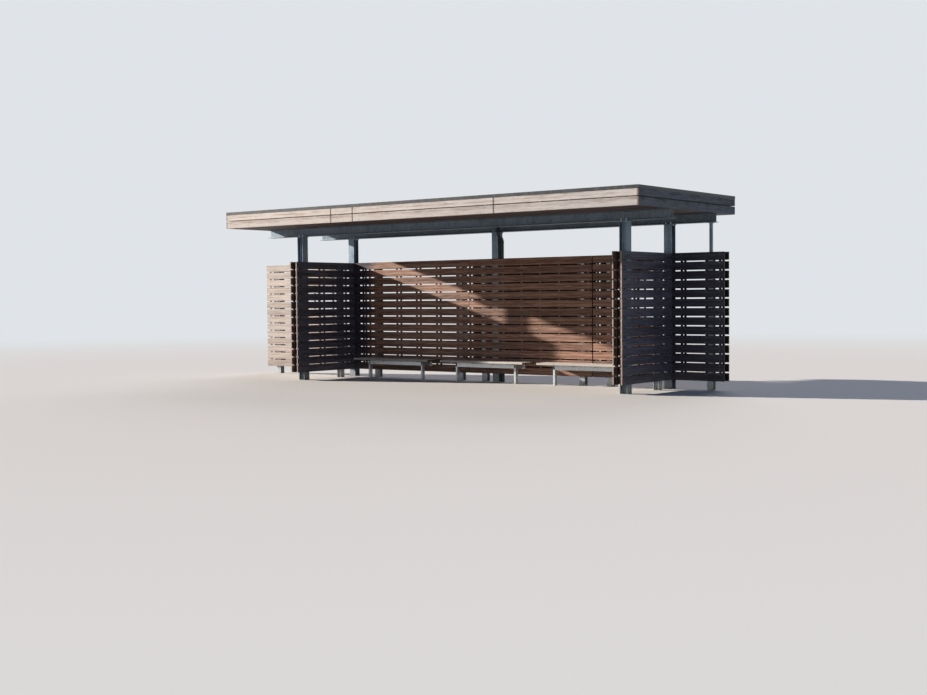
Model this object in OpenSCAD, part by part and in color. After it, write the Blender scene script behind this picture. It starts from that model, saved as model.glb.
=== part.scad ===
// Open waiting shelter: a flat roof on two steel beams and five posts,
// with a double-skin slatted back wall, two wing walls and three benches.
// Millimetres, +Z up, ground at Z = 0, open side towards -Y.

/* [Frame] */
// Distance between neighbouring roof posts along the shelter
post_pitch = 4000; // [3200:50:4800]
// Distance between the front and the rear beam line
beam_gap = 1600; // [1300:50:2000]
// Height of the soffit, which is the top of the beams
soffit_z = 3235; // [2950:5:3900]

/* [Roof post section] */
// Depth of the roof posts, over the flanges
post_d = 152; // [133:1:190]
// Width of the roof post flanges
post_b = 160; // [140:1:200]
// Web thickness of the roof posts
post_web = 6; // [5:0.5:9]
// Flange thickness of the roof posts
post_flange = 9; // [8:0.5:14]
// Root radius of the roof posts
post_root = 15; // [8:1:18]

/* [Wall post section] */
// Depth of the short wall posts, over the flanges
stud_d = 114; // [96:1:125]
// Width of the short wall post flanges
stud_b = 120; // [100:1:140]
// Web thickness of the short wall posts
stud_web = 5; // [4:0.5:7]
// Flange thickness of the short wall posts
stud_flange = 8; // [6:0.5:11]
// Root radius of the short wall posts
stud_root = 12; // [6:1:14]

/* [Beam section] */
// Depth of the beams
beam_d = 171; // [140:1:210]
// Width of the beam flanges
beam_b = 180; // [160:1:220]
// Web thickness of the beams
beam_web = 6; // [5:0.5:9]
// Flange thickness of the beams
beam_flange = 9.5; // [8:0.5:14]
// Root radius of the beams
beam_root = 15; // [8:1:18]
// Distance from a beam end to the roof end
beam_inset = 40; // [20:5:90]
// Thickness of the cap plate on a roof post
cap_t = 12; // [8:1:16]
// Bolt hole in the cap plates and beam flanges
bolt_hole = 18; // [14:1:22]
// Spacing of the cap plate bolts
bolt_gauge = 100; // [85:1:110]

/* [Roof] */
// Roof overhang past the end posts
roof_end = 1000; // [700:50:1400]
// Roof overhang in front of the front beam line
roof_front = 1250; // [900:50:1500]
// Roof overhang behind the rear beam line
roof_back = 665; // [450:5:900]
// Thickness of the soffit boarding
soffit_t = 20; // [16:1:28]
// Cover width of one soffit board
soffit_board = 120; // [90:5:160]
// Thickness of joists and rim timbers
joist_t = 45; // [35:1:60]
// Depth of the joists
joist_h = 250; // [200:5:260]
// Greatest spacing of the joists
joist_pitch = 620; // [400:10:700]
// Thickness of the roof deck
deck_t = 22; // [18:1:30]

/* [Fascia] */
// Height of one fascia board
fascia_w = 145; // [120:1:175]
// Thickness of the fascia boards
fascia_t = 28; // [20:1:35]
// Open joint between the two fascia boards
fascia_gap = 14; // [8:1:22]
// Open butt joint between two lengths of fascia board
fascia_butt = 3; // [1:0.5:6]
// How far the fascia hangs below the soffit
fascia_drip = 5; // [0:1:20]
// Depth of the battens behind the fascia
fascia_batten = 60; // [30:1:80]
// Height of the metal edge trim
trim_h = 60; // [45:1:80]
// Part of the edge trim above the fascia boards
trim_rise = 35; // [20:1:40]
// Sheet thickness of the edge trim
trim_t = 3; // [2:0.5:5]

/* [Wall] */
// Height of one wall board
board_w = 145; // [120:1:175]
// Thickness of the wall boards
board_t = 24; // [18:1:32]
// Open gap between wall boards
board_gap = 25; // [15:1:32]
// Bevel along the edges of wall and fascia boards
board_bevel = 3; // [1:0.5:5]
// Number of board rows
board_rows = 14; // [10:1:16]
// Height of the lowest board edge above ground
wall_base = 170; // [120:5:220]
// Open joint between two wall panels
panel_joint = 8; // [4:1:25]
// Open joint between the third and the fourth panel, which is wider
wide_joint = 24; // [4:1:30]
// Distance from a panel end to its nearest wall post
stud_inset = 325; // [270:5:400]
// Width of the first back wall panel, past the left end of the roof
panel_w = 3020; // [2500:10:3700]
// Distance from the middle post to the panel joint on its left
seam_left = 660; // [600:5:800]
// Distance from the right end post to the panel joint on its left
seam_right = 1640; // [1400:10:2000]
// Length of back wall past the right end of the roof
wall_past_roof = 165; // [130:5:210]
// Width of the battens between boards and posts
batten_w = 45; // [35:1:60]
// Greatest spacing of the battens
batten_pitch = 620; // [450:10:750]
// Greatest spacing of the battens in the panel that the pipe passes
batten_close = 480; // [400:10:620]
// Distance from a panel end to its end batten
batten_end = 95; // [60:5:120]
// Length of a wing wall in front of the front beam line
wing_nose = 290; // [240:5:400]
// Distance from the back wall to the rear post of a wing wall
wing_inset = 360; // [300:5:450]
// Thickness of the upright inside the front end of a wing wall
stile_t = 40; // [25:1:55]
// Distance from the front end of a wing wall to that upright
stile_set = 46; // [10:1:60]

/* [Side tube] */
// Width of the slender square tube at the right end
tube_w = 50; // [40:1:60]
// Wall thickness of that tube
tube_wall = 4; // [3:0.5:5]
// Thickness of its end plate and of the plate that it stands on
tube_plate = 8; // [6:1:12]

/* [Downpipe] */
// Outer diameter of the downpipe
pipe_d = 76; // [60:1:90]
// Wall thickness of the downpipe
pipe_wall = 3; // [2:0.5:4]
// Bend radius of the swan neck, on the centre line
neck_r = 75; // [60:5:100]
// Clearance between the downpipe and the steel beside it
pipe_clear = 6; // [4:1:12]

/* [Benches] */
// Length of a bench seat
bench_len = 2090; // [1700:10:2520]
// How far the row of benches stands to the right of the middle
bench_shift = -28; // [-80:1:80]
// Height of the seat
seat_z = 440; // [400:5:530]
// Number of slats in a seat
slat_count = 5; // [4:1:6]
// Width of a slat
slat_w = 70; // [60:1:84]
// Thickness of a slat
slat_t = 40; // [30:1:48]
// Gap between slats
slat_gap = 12; // [8:1:15]
// Radius along the edges of the slats
slat_r = 5; // [2:1:8]
// Width of the cleats that tie the slats
cleat_w = 60; // [40:1:80]
// Thickness of those cleats, which lie on the frame
cleat_t = 14; // [8:1:20]
// Distance from the back wall to the seat
seat_back = 75; // [50:5:100]
// Distance between the two legs
leg_span = 1484; // [1200:4:1600]
// Width of the legs and rails
leg_w = 40; // [30:1:60]
// Depth of the legs and height of the rails
leg_d = 80; // [60:1:100]
// Distance from the seat front to the legs
leg_setback = 170; // [100:5:200]
// Wall thickness of the frame tubes
frame_wall = 4; // [3:0.5:5]

/* [Hidden] */
$fn = 48;

// Heights
beam_z = soffit_z - beam_d;
wall_h = board_rows * board_w + (board_rows - 1) * board_gap;
wall_top = wall_base + wall_h;
fascia_z = soffit_z - fascia_drip;
fascia_top = fascia_z + 2 * fascia_w + fascia_gap;
trim_top = fascia_top + trim_rise;
joist_z = soffit_z + soffit_t;
deck_z = joist_z + joist_h;

// Plan, measured from the middle post of the rear beam line
roof_x = post_pitch + roof_end;
roof_y0 = -beam_gap - roof_front;
roof_y1 = roof_back;
rim_in = fascia_t + fascia_batten;
face_y = post_d / 2;
wall_half = post_d / 2 + board_t;
batten_t = (post_d - stud_d) / 2;
wall_x1 = roof_x + wall_past_roof;
seam_1 = -post_pitch + stud_inset;
seam_2 = -seam_left;
seam_3 = post_pitch - seam_right;
wall_x0 = seam_1 - panel_w;
wing_y0 = -beam_gap - wing_nose;
wing_stud_y = -wall_half - wing_inset;
roof_posts = [-post_pitch, 0, post_pitch];

// How far each wall post stands to the right of its regular place
stud_shift = [0, 70, 45, 25, 50, 30, 15];
stud_row = [
    wall_x0 + stud_inset, seam_1 + stud_inset, seam_2 - stud_inset,
    seam_2 + stud_inset, seam_3 - stud_inset, seam_3 + stud_inset,
    wall_x1 - stud_inset
];
studs = stud_row + stud_shift;

// Per panel its two ends, the first and last inner batten, the greatest spacing
panels = [
    [wall_x0, seam_1 - panel_joint / 2,
        studs[0] + stud_b / 2, -post_pitch, batten_pitch],
    [seam_1 + panel_joint / 2, seam_2 - panel_joint / 2,
        studs[1] + stud_b / 2, studs[2] - stud_b / 2, batten_pitch],
    [seam_2 + panel_joint / 2, seam_3 - wide_joint / 2,
        studs[3] + stud_b / 2, studs[4] - stud_b / 2, batten_close],
    [seam_3 + wide_joint / 2, wall_x1,
        studs[5] + stud_b / 2, studs[6] - stud_b / 2, batten_pitch]
];

// The plan centre of the whole shelter is the origin
grid_x = -(wall_x0 + max(wall_x1, roof_x + trim_t)) / 2;
grid_y = -(roof_y0 + roof_y1) / 2;

// Benches share the free length between the wings
bench_free = 2 * (post_pitch - wall_half) - 3 * bench_len;
bench_x = bench_len + bench_free * 0.22;
seat_depth = slat_count * slat_w + (slat_count - 1) * slat_gap;
seat_y1 = -wall_half - seat_back;
seat_y0 = seat_y1 - seat_depth;
rail_z = seat_z - slat_t - cleat_t - leg_d;

// Butt joints in the fascia, as a share of the post spacing
front_joints = [-0.493, -0.348, 0.507];
back_joints = [-0.5, 0.5];

// The pipe stands beside the right flange edge of the middle post
pipe_x = post_b / 2 + pipe_clear + pipe_d / 2;
pipe_out = beam_b / 2 + pipe_clear + pipe_d / 2;
neck_drop = 2 * neck_r * sin(45) + pipe_out - 2 * neck_r * (1 - cos(45));
neck_z = beam_z - neck_drop;
socket_l = 30;

steel = "#5d6461";
galv = "#9aa0a0";
hardwood = "#5b3a2b";
weathered = "#b79a88";

module on_grid() {
    translate([grid_x, grid_y, 0])
        children();
}

// Rolled wide-flange section, depth along Y, with true root radii
module h_profile(d, b, web, flange, root) {
    for (s = [-1, 1])
        translate([-b / 2, s * (d - flange) / 2 - flange / 2])
            square([b, flange]);
    translate([-web / 2, -d / 2 + flange / 2])
        square([web, d - flange]);
    for (a = [0, 1], b = [0, 1])
        mirror([a, 0])
            mirror([0, b])
                translate([web / 2, d / 2 - flange - root])
                    difference() {
                        square([root, root]);
                        translate([root, 0])
                            circle(root);
                    }
}

// Four bolt holes through a plate or flange that faces up
module bolt_pattern(t) {
    for (sx = [-1, 1], sy = [-1, 1])
        translate([sx * bolt_gauge / 2, sy * bolt_gauge / 2, -1])
            cylinder(d = bolt_hole, h = t + 2);
}

// Roof post with its cap plate, flanges facing front and back
module roof_post(turn = 0) {
    color(steel) {
        rotate([0, 0, turn])
            linear_extrude(beam_z - cap_t)
                h_profile(post_d, post_b, post_web, post_flange, post_root);
        translate([0, 0, beam_z - cap_t])
            difference() {
                translate([-beam_b / 2, -beam_b / 2, 0])
                    cube([beam_b, beam_b, cap_t]);
                bolt_pattern(cap_t);
            }
    }
}

// Short post inside a wall, with an optional cap plate
module wall_post(turn = 0, cap = 0) {
    color(galv) {
        rotate([0, 0, turn])
            linear_extrude(wall_top - cap)
                h_profile(stud_d, stud_b, stud_web, stud_flange, stud_root);
        if (cap > 0)
            translate([-stud_b / 2, -stud_d / 2, wall_top - cap])
                cube([stud_b, stud_d, cap]);
    }
}

module back_wall_post(i, cap = 0) {
    on_grid()
        translate([studs[i], 0, 0])
            wall_post(0, cap);
}

module beam(posts) {
    half = roof_x - beam_inset;
    color(steel)
        difference() {
            translate([-half, 0, beam_z + beam_d / 2])
                rotate([90, 0, 90])
                    linear_extrude(2 * half)
                        h_profile(beam_d, beam_b, beam_web, beam_flange, beam_root);
            for (x = posts)
                translate([x, 0, beam_z])
                    bolt_pattern(beam_flange);
        }
}

// Batten places along one panel, clear of the roof posts that it passes
function batten_row(x0, x1, s0, s1, pitch, posts) =
    let (
        n = ceil((s1 - s0) / pitch),
        step = (s1 - s0) / n,
        all = concat([x0 + batten_end], [for (i = [0:n]) s0 + i * step], [x1 - batten_end])
    )
    [for (x = all) if (is_clear(x, posts)) x];

function is_clear(x, posts) =
    len([for (p = posts) if (abs(x - p) < (post_b + batten_w) / 2 + 5) p]) == 0;

// Board along X with bevelled long edges, thickness along Y, height along Z
module board(len, t, h) {
    b = board_bevel;
    rotate([90, 0, 90])
        linear_extrude(len)
            polygon([
                [b, 0], [t - b, 0], [t, b], [t, h - b],
                [t - b, h], [b, h], [0, h - b], [0, b]
            ]);
}

// One skin of a wall panel: board rows towards +Y, battens behind them
module wall_skin(x0, x1, battens) {
    color(hardwood) {
        for (i = [0:board_rows - 1])
            translate([x0, 0, wall_base + i * (board_w + board_gap)])
                board(x1 - x0, board_t, board_w);
        for (x = battens)
            translate([x - batten_w / 2, -batten_t, wall_base])
                cube([batten_w, batten_t, wall_h]);
    }
}

// Back wall panel number i, side -1 for the front skin and 1 for the rear.
// A front skin as high as the swan neck is notched round it.
module back_wall_panel(i, side) {
    p = panels[i];
    notch_w = pipe_d + 4 * pipe_clear;
    notch_z = neck_z - socket_l - 2 * pipe_clear;
    battens = batten_row(p[0], p[1], p[2], p[3], p[4], roof_posts);
    on_grid()
        mirror([0, side < 0 ? 1 : 0, 0])
            translate([0, face_y, 0])
                difference() {
                    wall_skin(p[0], p[1], battens);
                    if (side < 0)
                        translate([pipe_x - notch_w / 2, -batten_t - 1, notch_z])
                            cube([notch_w, batten_t + board_t + 2, beam_z - notch_z]);
                }
}

// Skin of a wing wall, with a stronger upright at its free end
module wing_boards(span, battens) {
    wall_skin(0, span, battens);
    color(hardwood)
        translate([stile_set, -stile_t, wall_base])
            cube([batten_w, stile_t, wall_h]);
}

// Wing wall skin at the post line x, side 1 facing away from the middle
module wing_skin(x, side) {
    span = -wall_half - wing_y0;
    front = -beam_gap - wing_y0;
    rear = wing_stud_y - wing_y0;
    battens = batten_row(0, span, front, rear, batten_pitch, [stile_set, front]);
    on_grid()
        translate([x, wing_y0, 0])
            mirror([side < 0 ? 1 : 0, 0, 0])
                translate([face_y, 0, 0])
                    rotate([0, 0, -90])
                        mirror([1, 0, 0])
                            wing_boards(span, battens);
}

// Lengthwise boards with a V joint between neighbours
module soffit_panel() {
    x = roof_x - fascia_t;
    y0 = roof_y0 + fascia_t;
    y1 = roof_y1 - fascia_t;
    n = ceil((y1 - y0) / soffit_board) - 1;
    color(hardwood)
        difference() {
            translate([-x, y0, soffit_z])
                cube([2 * x, y1 - y0, soffit_t]);
            for (i = [1:n])
                translate([-x - 1, y0 + i * soffit_board, soffit_z])
                    rotate([90, 0, 90])
                        linear_extrude(2 * x + 2)
                            polygon([[-4, -1], [4, -1], [0, 4]]);
            translate([pipe_x, -pipe_out, soffit_z - 1])
                cylinder(d = pipe_d + 2 * pipe_clear, h = soffit_t + 2);
        }
}

// Rim timbers up to the edge trim, with cross joists between them
module joist_frame() {
    x = roof_x - rim_in;
    y0 = roof_y0 + rim_in;
    y1 = roof_y1 - rim_in;
    rim_h = trim_top - trim_t - joist_z;
    n = ceil(2 * (x - joist_t) / joist_pitch / 2) * 2;
    color(weathered)
        translate([0, 0, joist_z]) {
            for (y = [y0, y1 - joist_t])
                translate([-x, y, 0])
                    cube([2 * x, joist_t, rim_h]);
            for (s = [-1, 1])
                translate([s * (x - joist_t / 2) - joist_t / 2, y0, 0])
                    cube([joist_t, y1 - y0, rim_h]);
            for (i = [1:n - 1])
                translate([-x + i * 2 * x / n - joist_t / 2, y0, 0])
                    cube([joist_t, y1 - y0, joist_h]);
        }
}

module deck_panel() {
    x = roof_x - rim_in - joist_t;
    y0 = roof_y0 + rim_in + joist_t;
    y1 = roof_y1 - rim_in - joist_t;
    color("#4a4f52")
        difference() {
            translate([-x, y0, deck_z])
                cube([2 * x, y1 - y0, deck_t]);
            translate([pipe_x, -pipe_out, deck_z - 1])
                cylinder(d = pipe_d + 2 * pipe_clear, h = deck_t + 2);
        }
}

// Two fascia boards on battens, outer face at Y = 0, length along X,
// cut through at the joints, each of which has a batten behind it
module fascia_side(len, inset, joints = []) {
    run = len - 2 * inset;
    n = ceil(run / joist_pitch);
    places = concat([for (i = [0:n]) (i / n - 0.5) * (run - joist_t)], joints);
    color(weathered)
        translate([0, 0, fascia_z]) {
            difference() {
                for (i = [0, 1])
                    translate([-len / 2, 0, i * (fascia_w + fascia_gap)])
                        board(len, fascia_t, fascia_w);
                for (x = joints)
                    translate([x - fascia_butt / 2, -1, -1])
                        cube([fascia_butt, fascia_t + 2, fascia_top - fascia_z + 2]);
            }
            for (x = places)
                translate([x - joist_t / 2, fascia_t, joist_z - fascia_z])
                    cube([joist_t, fascia_batten, fascia_top - joist_z]);
        }
}

// Folded edge trim, mitred at both ends: an outer leg, a top leg that
// reaches over the rim and a turned-down lip
module trim_side(len) {
    in = rim_in + joist_t + 2 * trim_t;
    l = len / 2;
    m = l - in - trim_t;
    z1 = trim_top - trim_t;
    color("#33383b")
        intersection() {
            rotate([90, 0, 90])
                translate([0, 0, -l])
                    linear_extrude(len)
                        polygon([
                            [-trim_t, trim_top - trim_h], [0, trim_top - trim_h],
                            [0, z1], [in - trim_t, z1],
                            [in - trim_t, z1 - 12], [in, z1 - 12],
                            [in, trim_top], [-trim_t, trim_top]
                        ]);
            translate([0, 0, trim_top - trim_h - 1])
                linear_extrude(trim_h + 2)
                    polygon([[-l, -trim_t], [l, -trim_t], [m, in], [-m, in]]);
        }
}

// Cross-section of the pipe, or of a socket that is r wider all round
module pipe_ring(r = 0) {
    difference() {
        circle(d = pipe_d + 2 * r);
        circle(d = pipe_d - 2 * pipe_wall + r / 2);
    }
}

// Eighth turn of the swan neck in the YZ plane, from angle a upwards
module neck_bend(a) {
    rotate([90, 0, 90])
        rotate([0, 0, a - 2])
            rotate_extrude(angle = 49)
                translate([neck_r, 0])
                    pipe_ring(0.7);
}

// Socket at an end of a bend, its rim towards -Z
module neck_socket() {
    translate([0, 0, -socket_l])
        linear_extrude(socket_l + 6)
            pipe_ring(4);
}

// Clip that holds the pipe to the post's web
module pipe_clip() {
    linear_extrude(30)
        difference() {
            union() {
                circle(d = pipe_d + 6);
                translate([post_web / 2 - pipe_x, -3])
                    square([pipe_x - post_web / 2, 6]);
            }
            circle(d = pipe_d - pipe_wall);
        }
}

module front_beam() {
    on_grid()
        translate([0, -beam_gap, 0])
            beam([-post_pitch, post_pitch]);
}

module rear_beam() {
    on_grid()
        beam(roof_posts);
}

module front_post(s) {
    on_grid()
        translate([s * post_pitch, -beam_gap, 0])
            roof_post(90);
}

module rear_post(i) {
    on_grid()
        translate([roof_posts[i], 0, 0])
            roof_post(0);
}

module wing_post(s) {
    on_grid()
        translate([s * post_pitch, wing_stud_y, 0])
            wall_post(90);
}

module side_tube() {
    h = beam_z - wall_top;
    color(steel)
        on_grid()
            translate([studs[6], 0, wall_top]) {
                linear_extrude(h - tube_plate)
                    difference() {
                        square(tube_w, center = true);
                        square(tube_w - 2 * tube_wall, center = true);
                    }
                translate([-tube_w, -tube_w, h - tube_plate])
                    cube([2 * tube_w, 2 * tube_w, tube_plate]);
            }
}

module soffit() {
    on_grid()
        soffit_panel();
}

module roof_frame() {
    on_grid()
        joist_frame();
}

module roof_deck() {
    on_grid()
        deck_panel();
}

module fascia_front() {
    on_grid()
        translate([0, roof_y0, 0])
            fascia_side(2 * (roof_x - fascia_t), 2 * fascia_batten, front_joints * post_pitch);
}

module fascia_back() {
    on_grid()
        translate([0, roof_y1, 0])
            mirror([0, 1, 0])
                fascia_side(2 * (roof_x - fascia_t), 2 * fascia_batten, back_joints * post_pitch);
}

module fascia_end(s) {
    on_grid()
        translate([s * roof_x, (roof_y0 + roof_y1) / 2, 0])
            rotate([0, 0, s * 90])
                fascia_side(roof_y1 - roof_y0, 3 * fascia_batten);
}

module trim_front() {
    on_grid()
        translate([0, roof_y0, 0])
            trim_side(2 * (roof_x + trim_t));
}

module trim_back() {
    on_grid()
        translate([0, roof_y1, 0])
            mirror([0, 1, 0])
                trim_side(2 * (roof_x + trim_t));
}

module trim_end(s) {
    on_grid()
        translate([s * roof_x, (roof_y0 + roof_y1) / 2, 0])
            rotate([0, 0, s * 90])
                trim_side(roof_y1 - roof_y0 + 2 * trim_t);
}

// Rain pipe: outlet in the deck, swan neck round the beam, then straight
// down beside the middle post through the wall cavity
module downpipe() {
    slant = (pipe_out - 2 * neck_r * (1 - cos(45))) / sin(45);
    top = deck_z + deck_t;
    color("#3f4543")
        on_grid()
            translate([pipe_x, 0, 0]) {
                linear_extrude(neck_z)
                    pipe_ring();
                translate([0, 0, neck_z])
                    neck_socket();
                translate([0, -neck_r, neck_z])
                    neck_bend(0);
                translate([0, -neck_r * (1 - cos(45)), neck_z + neck_r * sin(45)])
                    rotate([45, 0, 0]) {
                        linear_extrude(slant)
                            pipe_ring();
                        mirror([0, 0, 1])
                            neck_socket();
                        translate([0, 0, slant])
                            neck_socket();
                    }
                translate([0, -pipe_out + neck_r, beam_z])
                    neck_bend(180);
                translate([0, -pipe_out, beam_z]) {
                    linear_extrude(top - beam_z)
                        pipe_ring();
                    mirror([0, 0, 1])
                        neck_socket();
                }
                translate([0, -pipe_out, top])
                    linear_extrude(4)
                        difference() {
                            circle(d = pipe_d + 60);
                            circle(d = pipe_d - 2 * pipe_wall);
                        }
                for (z = [wall_base + wall_h * 0.2, wall_base + wall_h * 0.8])
                    translate([0, 0, z])
                        pipe_clip();
            }
}

// Rectangular tube, standing up from the XY plane
module box_tube(w, d, h) {
    linear_extrude(h)
        difference() {
            square([w, d]);
            translate([frame_wall, frame_wall])
                square([w - 2 * frame_wall, d - 2 * frame_wall]);
        }
}

// Bench frame of rectangular tube: two legs, cross rails that run back
// to a plate on the wall boards, and two long rails
module bench_frame(x) {
    leg_y = seat_y0 + leg_setback;
    plate_y = -wall_half - tube_plate;
    color(galv)
        on_grid()
            translate([x + bench_shift, 0, 0]) {
                for (s = [-1, 1])
                    translate([s * leg_span / 2 - leg_w / 2, 0, 0]) {
                        translate([0, leg_y, 0])
                            box_tube(leg_w, leg_d, rail_z);
                        translate([0, plate_y, rail_z])
                            rotate([90, 0, 0])
                                box_tube(leg_w, leg_d, plate_y - leg_y);
                        translate([-leg_w / 2, plate_y, rail_z - leg_w / 2])
                            cube([2 * leg_w, tube_plate, leg_d + leg_w]);
                    }
                for (y = [leg_y, seat_y1 - leg_w])
                    translate([-leg_span / 2 + leg_w / 2, y + leg_w, rail_z])
                        rotate([90, 0, 90])
                            mirror([1, 0, 0])
                                box_tube(leg_w, leg_d, leg_span - leg_w);
            }
}

// Slat along X with rounded long edges
module slat() {
    rotate([90, 0, 90])
        linear_extrude(bench_len)
            difference() {
                square([slat_w, slat_t]);
                for (a = [0, 1], b = [0, 1])
                    translate([a * slat_w, b * slat_t])
                        mirror([a, 0])
                            mirror([0, b])
                                difference() {
                                    translate([-1, -1])
                                        square([slat_r + 1, slat_r + 1]);
                                    translate([slat_r, slat_r])
                                        circle(slat_r);
                                }
            }
}

// Lengthwise slats tied by cleats that lie on the frame
module bench_seat(x) {
    color(weathered)
        on_grid()
            translate([x + bench_shift, seat_y0, seat_z - slat_t]) {
                for (i = [0:slat_count - 1])
                    translate([-bench_len / 2, i * (slat_w + slat_gap), 0])
                        slat();
                for (s = [-3, -1, 1, 3])
                    translate([s * leg_span / 6 - cleat_w / 2, slat_w / 4, -cleat_t])
                        cube([cleat_w, seat_depth - slat_w / 2, cleat_t]);
            }
}

front_beam();
rear_beam();
front_post(-1);  // front_post_left
front_post(1);  // front_post_right
rear_post(0);  // rear_post_left
rear_post(1);  // rear_post_middle
rear_post(2);  // rear_post_right
back_wall_post(0);  // wall_post_1
back_wall_post(1);  // wall_post_2
back_wall_post(2);  // wall_post_3
back_wall_post(3);  // wall_post_4
back_wall_post(4);  // wall_post_5
back_wall_post(5);  // wall_post_6
back_wall_post(6, tube_plate);  // wall_post_7
wing_post(-1);  // wing_post_left
wing_post(1);  // wing_post_right
side_tube();
back_wall_panel(0, -1);  // back_wall_front_1
back_wall_panel(1, -1);  // back_wall_front_2
back_wall_panel(2, -1);  // back_wall_front_3
back_wall_panel(3, -1);  // back_wall_front_4
back_wall_panel(0, 1);  // back_wall_rear_1
back_wall_panel(1, 1);  // back_wall_rear_2
back_wall_panel(2, 1);  // back_wall_rear_3
back_wall_panel(3, 1);  // back_wall_rear_4
wing_skin(-post_pitch, -1);  // left_wing_outer
wing_skin(-post_pitch, 1);  // left_wing_inner
wing_skin(post_pitch, 1);  // right_wing_outer
wing_skin(post_pitch, -1);  // right_wing_inner
soffit();
roof_frame();
roof_deck();
fascia_front();
fascia_back();
fascia_end(-1);  // fascia_left
fascia_end(1);  // fascia_right
trim_front();
trim_back();
trim_end(-1);  // trim_left
trim_end(1);  // trim_right
downpipe();
bench_frame(-bench_x);  // bench_frame_left
bench_seat(-bench_x);  // bench_seat_left
bench_frame(0);  // bench_frame_middle
bench_seat(0);  // bench_seat_middle
bench_frame(bench_x);  // bench_frame_right
bench_seat(bench_x);  // bench_seat_right
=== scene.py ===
import bpy
import math
from mathutils import Matrix, Vector


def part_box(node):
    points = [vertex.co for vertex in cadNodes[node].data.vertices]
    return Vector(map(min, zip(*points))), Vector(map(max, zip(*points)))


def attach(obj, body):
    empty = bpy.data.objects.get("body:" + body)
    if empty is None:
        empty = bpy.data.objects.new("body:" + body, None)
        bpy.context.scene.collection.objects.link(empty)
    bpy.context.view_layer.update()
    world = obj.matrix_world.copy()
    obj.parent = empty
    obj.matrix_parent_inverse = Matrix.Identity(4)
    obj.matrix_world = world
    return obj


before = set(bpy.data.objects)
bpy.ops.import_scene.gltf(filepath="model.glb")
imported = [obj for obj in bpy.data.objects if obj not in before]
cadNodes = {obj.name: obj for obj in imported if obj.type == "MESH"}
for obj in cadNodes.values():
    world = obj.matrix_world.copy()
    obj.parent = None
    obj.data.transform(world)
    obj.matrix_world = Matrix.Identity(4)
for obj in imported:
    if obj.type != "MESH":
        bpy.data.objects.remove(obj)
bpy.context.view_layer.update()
print("frame loaded:", len(cadNodes), "nodes")

# The middle rear post gives the grid point that the walls and the roof are set out from
postLow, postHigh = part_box("rear_post_middle")
gridX = (postLow.x + postHigh.x) / 2
gridY = (postLow.y + postHigh.y) / 2

# What the CAD model has where, in metres from the grid point
plan = dict(
    wings=(-4.0, 4.0),       # middle planes of the wing walls and of the outer posts
    frontPosts=-1.6,
    wallFace=0.1,            # outer face of a wall from its middle
    boardBack=0.076,         # inner face of its boards
    wallTop=2.525,
    roofEnd=5.0,
    fasciaFront=-2.850,
    fasciaBack=0.665,
    frontJoints=(-1.972, -1.392, 2.028),   # butt joints of the fascia boards
    backJoints=(-2.0, 2.0),
    soffitUnder=3.235,
)


# ---- materials: one function adds a node, of any kind

def linear(code):
    # sRGB hex to the linear colour that the shaders work in
    parts = [int(code[i:i + 2], 16) / 255 for i in (1, 3, 5)]
    parts = [p / 12.92 if p <= 0.04045 else ((p + 0.055) / 1.055) ** 2.4 for p in parts]
    return (*parts, 1.0)


def feed(tree, node, inputs):
    # Links and plain values, by socket or in the order of the sockets; a string is sRGB hex
    if not isinstance(inputs, dict):
        inputs = dict(enumerate(inputs))
    for key, value in inputs.items():
        if isinstance(value, bpy.types.NodeSocket):
            tree.links.new(value, node.inputs[key])
        else:
            node.inputs[key].default_value = linear(value) if isinstance(value, str) else value


def addNode(tree, kind, inputs, out=0, stops=None, **settings):
    # One node with its inputs, colour stops and settings; gives its output, or itself for None.
    # A Mix of colours takes its share and both colours at sockets 0, 6 and 7, and gives output 2
    node = tree.nodes.new("ShaderNode" + kind)
    for name, value in settings.items():
        setattr(node, name, value)
    feed(tree, node, inputs)
    if stops:
        ramp = node.color_ramp.elements
        while len(ramp) < len(stops):
            ramp.new(0.5)
        for element, (position, code) in zip(ramp, stops):
            element.position = position
            element.color = linear(code)
    return node if out is None else node.outputs[out]


def newMaterial(name):
    # The material, its tree and shader, and a point's place on the object
    material = bpy.data.materials.new(name)
    material.use_nodes = True
    tree = material.node_tree
    tree.nodes.clear()
    shader = addNode(tree, "BsdfPrincipled", {}, None)
    addNode(tree, "OutputMaterial", {"Surface": shader.outputs[0]}, None)
    return material, tree, shader, addNode(tree, "TexCoord", {}, "Object")


def dress(nodeNames, material):
    for name in nodeNames:
        for slot in cadNodes[name].material_slots:
            slot.material = material


def named(*starts):
    return [name for name in cadNodes if name.startswith(starts)]


# ---- modelling by hand, one operator at a time

faceOn = 0.9    # a face looks along an axis from this share of its normal on


def only(*pieces):
    # These pieces alone are selected, the first one active
    bpy.ops.object.select_all(action="DESELECT")
    for piece in pieces:
        piece.select_set(True)
    bpy.context.view_layer.objects.active = pieces[0]


def pick(piece, test):
    # In edit mode: selects the faces whose middle and normal pass the test
    bpy.ops.mesh.select_mode(type="FACE")
    bpy.ops.mesh.select_all(action="DESELECT")
    bpy.ops.object.mode_set(mode="OBJECT")
    for face in piece.data.polygons:
        face.select = test(face.center, face.normal)
    bpy.ops.object.mode_set(mode="EDIT")


def extrude(x, y, z):
    bpy.ops.mesh.extrude_region_move(TRANSFORM_OT_translate={"value": (x, y, z)})


def closeShape():
    # Leaves edit mode with all faces turned outwards
    bpy.ops.mesh.select_all(action="SELECT")
    bpy.ops.mesh.normals_make_consistent(inside=False)
    bpy.ops.object.mode_set(mode="OBJECT")


def settle(*pieces):
    # Joined where there are several; turn, size and place go into the mesh
    only(*pieces)
    if len(pieces) > 1:
        bpy.ops.object.join()
    bpy.ops.object.transform_apply(location=True, rotation=True, scale=True)
    return bpy.context.object


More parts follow.
